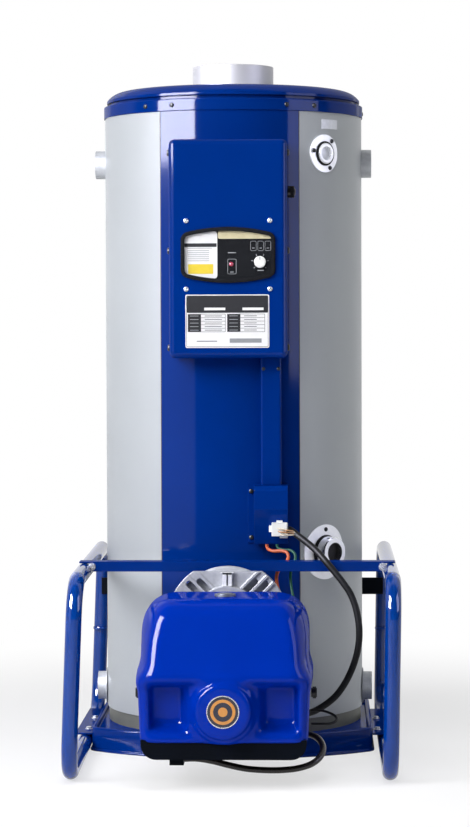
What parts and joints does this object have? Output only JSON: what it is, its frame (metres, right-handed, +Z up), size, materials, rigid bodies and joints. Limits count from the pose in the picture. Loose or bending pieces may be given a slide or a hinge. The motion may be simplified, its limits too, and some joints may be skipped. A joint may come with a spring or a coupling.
{
  "type": "oil-fired boiler",
  "caption": "Upright cylindrical oil-fired boiler in a grey jacket with blue front, control box, hooded front burner, tube guard loops and pipe couplings.",
  "frame": {"origin": "on the boiler's axis at floor level, on the underside of the base tray", "axes": "+Z up along the boiler's axis, -Y towards the burner at the front, +X to the right seen from the front"},
  "size_m": [0.5831, 0.8857, 1.2475],
  "materials": {
    "blue_enamel": "gloss",
    "grey_enamel": "satin",
    "foot_paint": "matt",
    "vessel_steel": "matt",
    "flue_steel": "satin",
    "pipe_steel": "satin",
    "black_plastic": "satin",
    "black_steel": "satin",
    "white_plastic": "gloss",
    "lamp_red": "gloss",
    "black_rubber": "matt",
    "cast_aluminium": "cast",
    "hood_plastic": "gloss",
    "badge_navy": "gloss",
    "clip_grey": "satin",
    "orange_wire": "satin",
    "green_wire": "satin"
  },
  "bodies": {
    "boiler": {"base_tray": "blue_enamel", "body_foot": "foot_paint", "boiler_vessel": "vessel_steel", "outer_jacket": "grey_enamel", "front_panel": "blue_enamel", "top_ring": "blue_enamel", "top_lid": "blue_enamel", "flue_collar": "flue_steel", "supply_coupling_left": "pipe_steel", "supply_coupling_right": "pipe_steel", "return_coupling_left": "pipe_steel", "return_coupling_right": "pipe_steel", "upper_port_plate": "pipe_steel", "upper_port_nipple": "pipe_steel", "lower_port_plate": "pipe_steel", "lower_port_nozzle": "pipe_steel", "control_box": "blue_enamel", "control_bezel": "black_plastic", "control_plate": "black_plastic", "indicator_lamp": "lamp_red", "side_grommet": "black_rubber", "cable_duct": "blue_enamel", "junction_box": "blue_enamel", "plug_connector": "white_plastic", "burner_neck": "vessel_steel", "burner_disc": "cast_aluminium", "burner_flange": "cast_aluminium", "clamp_bolt": "cast_aluminium", "burner_base": "black_plastic", "burner_hood": "hood_plastic", "hood_badge": "badge_navy", "hood_clip": "clip_grey", "hood_knobs": "black_plastic", "guard_loop_left": "blue_enamel", "guard_loop_right": "blue_enamel", "guard_crossbar": "blue_enamel", "body_brackets": "black_steel", "tray_brackets": "blue_enamel", "burner_cable": "black_rubber", "oil_hose": "black_rubber", "ignition_wire": "orange_wire", "earth_wire": "green_wire", "sensor_lead": "black_rubber"},
    "dial": {"temperature_dial": "white_plastic"}
  },
  "joints": [
    {"name": "dial_turn", "type": "hinge", "parent": "boiler", "child": "dial", "pos_m": [0.056, -0.298, 0.88], "axis": [0, -1, 0], "range_deg": [-135, 135]}
  ]
}
